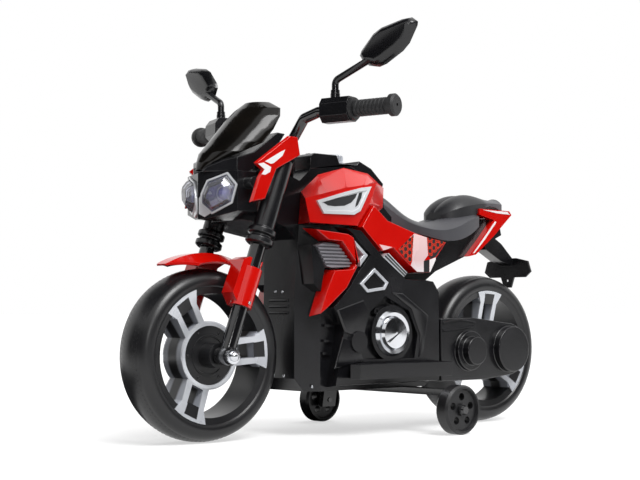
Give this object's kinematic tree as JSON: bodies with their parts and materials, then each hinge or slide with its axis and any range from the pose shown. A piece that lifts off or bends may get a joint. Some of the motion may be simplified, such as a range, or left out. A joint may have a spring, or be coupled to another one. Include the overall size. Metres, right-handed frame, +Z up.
{
  "type": "kids electric motorbike",
  "caption": "Child's electric ride-on motorbike with moulded panels, raked steering fork, paired-spoke wheels, swivelling mirrors, foot pedal and stabiliser wheels.",
  "frame": {"origin": "on the ground, midway between the two axles, on the middle plane", "axes": "+X forwards, +Y to the rider's left, +Z up"},
  "size_m": [0.8759, 0.581, 0.6331],
  "materials": {
    "red_gloss": "bright red, high gloss",
    "black_satin": "satin black moulding",
    "wheel_black": "matt black moulding with a tread",
    "seat_grey": "dark grey, soft sheen",
    "pad_dark": "near black, fine grain",
    "silver_paint": "painted silver",
    "grille_grey": "mid grey moulding",
    "chrome_plate": "bright plated plastic",
    "clear_lens": "clear polycarbonate",
    "screen_smoke": "dark smoked gloss",
    "fork_black": "gloss black tube",
    "grip_black": "soft black, ribbed",
    "mirror_face": "bright flat mirror film",
    "axle_steel": "zinc-plated steel",
    "cell_grey": "battery case",
    "board_green": "printed board in a tray",
    "bush_white": "natural nylon"
  },
  "bodies": {
    "chassis": {"body_left": "black_satin", "body_right": "black_satin", "steering_bush": "bush_white", "battery": "cell_grey", "control_board": "board_green", "tank_top": "black_satin", "tank_cap": "black_satin", "tank_left": "red_gloss", "tank_right": "red_gloss", "tank_badges": "silver_paint", "shroud_left": "red_gloss", "shroud_right": "red_gloss", "radiator_grilles": "grille_grey", "engine_cover_left": "black_satin", "engine_cover_right": "black_satin", "engine_caps": "chrome_plate", "frame_trims": "silver_paint", "side_panel_left": "red_gloss", "side_panel_right": "red_gloss", "seat": "seat_grey", "pillion_pad": "pad_dark", "tail_cover": "red_gloss", "plate_bracket": "black_satin", "foot_rests": "black_satin", "gearbox_cover": "black_satin", "swingarm_cover": "black_satin", "drive_gearbox": "black_satin", "drive_motor": "axle_steel", "rear_axle": "axle_steel", "stabiliser_bracket": "black_satin", "charging_socket": "black_satin"},
    "steering": {"fork_legs": "fork_black", "fork_sleeves": "black_satin", "lower_yoke": "black_satin", "upper_yoke": "black_satin", "front_fender": "red_gloss", "front_axle": "axle_steel", "handlebar": "fork_black", "grip_left": "grip_black", "grip_right": "grip_black", "switch_pods": "black_satin", "headlight_shell": "black_satin", "headlight_reflectors": "chrome_plate", "headlight_lenses": "clear_lens", "windscreen": "screen_smoke", "front_cowl": "black_satin", "cowl_wings": "red_gloss"},
    "front_wheel_set": {"front_wheel": "wheel_black", "front_spoke_trims": "silver_paint"},
    "rear_wheel_set": {"rear_wheel": "wheel_black", "rear_spoke_trims": "silver_paint"},
    "mirror_left_arm": {"mirror_left": "black_satin", "mirror_glass_left": "mirror_face"},
    "mirror_right_arm": {"mirror_right": "black_satin", "mirror_glass_right": "mirror_face"},
    "stabiliser_left": {"stabiliser_wheel_left": "wheel_black"},
    "stabiliser_right": {"stabiliser_wheel_right": "wheel_black"},
    "horn": {"horn_button": "black_satin"},
    "switch": {"power_switch": "black_satin"},
    "pedal": {"accelerator_pedal": "black_satin"}
  },
  "joints": [
    {"name": "steering_turn", "type": "hinge", "parent": "chassis", "child": "steering", "pos_m": [0.17709, 0, 0.37787], "axis": [-0.3387, 0, 0.9409], "range_deg": [-25, 25]},
    {"name": "front_wheel_spin", "type": "hinge", "parent": "steering", "child": "front_wheel_set", "pos_m": [0.306, 0, 0.132], "axis": [0, 1, 0], "continuous": true},
    {"name": "rear_wheel_spin", "type": "hinge", "parent": "chassis", "child": "rear_wheel_set", "pos_m": [-0.306, 0, 0.132], "axis": [0, 1, 0], "continuous": true},
    {"name": "stabiliser_left_spin", "type": "hinge", "parent": "chassis", "child": "stabiliser_left", "pos_m": [-0.082, 0.172, 0.04], "axis": [0, 1, 0], "continuous": true},
    {"name": "stabiliser_right_spin", "type": "hinge", "parent": "chassis", "child": "stabiliser_right", "pos_m": [-0.082, -0.172, 0.04], "axis": [0, 1, 0], "continuous": true},
    {"name": "mirror_left_swivel", "type": "hinge", "parent": "steering", "child": "mirror_left_arm", "pos_m": [0.16028, 0.14744, 0.532], "axis": [0, 0, 1], "range_deg": [-30, 30]},
    {"name": "mirror_right_swivel", "type": "hinge", "parent": "steering", "child": "mirror_right_arm", "pos_m": [0.16028, -0.14744, 0.532], "axis": [0, 0, 1], "range_deg": [-30, 30]},
    {"name": "horn_press", "type": "slide", "parent": "steering", "child": "horn", "axis": [0.9588, 0.284, 0], "range_m": [0, 0.002], "stiffness_N_per_m": 600, "springref_m": -0.001},
    {"name": "switch_rock", "type": "hinge", "parent": "chassis", "child": "switch", "pos_m": [0.084, 0, 0.451], "axis": [0, 1, 0], "range_deg": [-10, 10]},
    {"name": "pedal_press", "type": "hinge", "parent": "chassis", "child": "pedal", "pos_m": [-0.02, -0.101, 0.111], "axis": [0, 1, 0], "range_deg": [0, 7], "stiffness_Nm_per_rad": 0.6, "springref_deg": -11.46}
  ]
}
